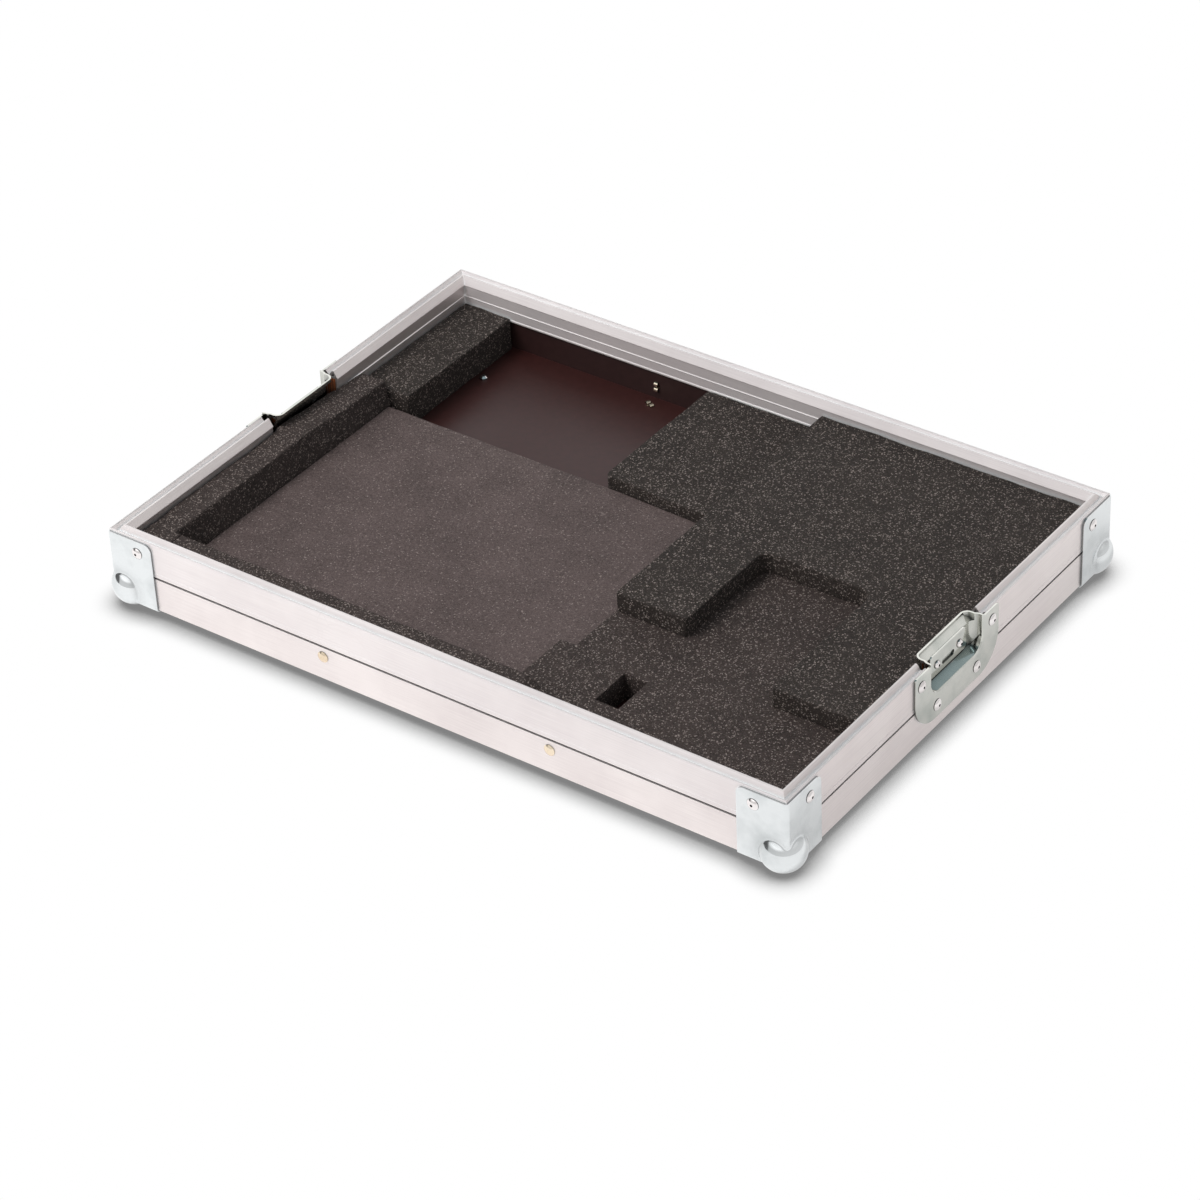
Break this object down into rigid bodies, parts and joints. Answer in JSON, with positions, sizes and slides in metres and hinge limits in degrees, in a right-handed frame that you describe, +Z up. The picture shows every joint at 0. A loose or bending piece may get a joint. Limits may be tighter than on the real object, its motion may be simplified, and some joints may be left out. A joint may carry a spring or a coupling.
{
  "type": "pedalboard case tray",
  "caption": "Open lower half of a pedalboard flight case: framed plywood tray with ball corners, catch dishes and cut foam bays.",
  "frame": {"origin": "centre of the case in plan, at the ground under the ball corners", "axes": "+X along the length towards the right end, +Y to the back, +Z up"},
  "size_m": [0.638, 0.464, 0.0715],
  "materials": {
    "aluminium": "satin",
    "zinc_steel": "satin",
    "rivet_steel": "satin",
    "rivet_copper": "satin",
    "film_board": "gloss",
    "coarse_foam": "matte",
    "smooth_foam": "matte"
  },
  "bodies": {
    "tray": {"edge_front": "aluminium", "edge_back": "aluminium", "edge_left": "aluminium", "edge_right": "aluminium", "rim_front": "aluminium", "rim_back": "aluminium", "rim_left_front": "aluminium", "rim_left_back": "aluminium", "rim_right_front": "aluminium", "rim_right_back": "aluminium", "corner_front_left": "zinc_steel", "corner_front_right": "zinc_steel", "corner_back_left": "zinc_steel", "corner_back_right": "zinc_steel", "catch_dish_left": "zinc_steel", "catch_dish_right": "zinc_steel", "keeper_left": "zinc_steel", "keeper_right": "zinc_steel", "corner_rivets": "rivet_steel", "dish_rivets": "rivet_steel", "keeper_rivets": "rivet_steel", "floor_rivet": "rivet_steel", "edge_side_rivets": "rivet_copper", "edge_floor_rivets": "rivet_copper", "floor_panel": "film_board", "front_panel": "film_board", "back_panel": "film_board", "left_panel": "film_board", "right_panel": "film_board", "left_foam_strip": "coarse_foam", "front_foam_strip": "coarse_foam", "back_left_foam_block": "coarse_foam", "right_base_foam": "coarse_foam", "right_top_foam": "coarse_foam", "centre_foam_pad": "smooth_foam"},
    "filler": {"filler_foam_block": "coarse_foam"}
  },
  "joints": [
    {"name": "filler_lift", "type": "slide", "parent": "tray", "child": "filler", "axis": [0, 0, 1], "range_m": [0, 0.06]}
  ]
}
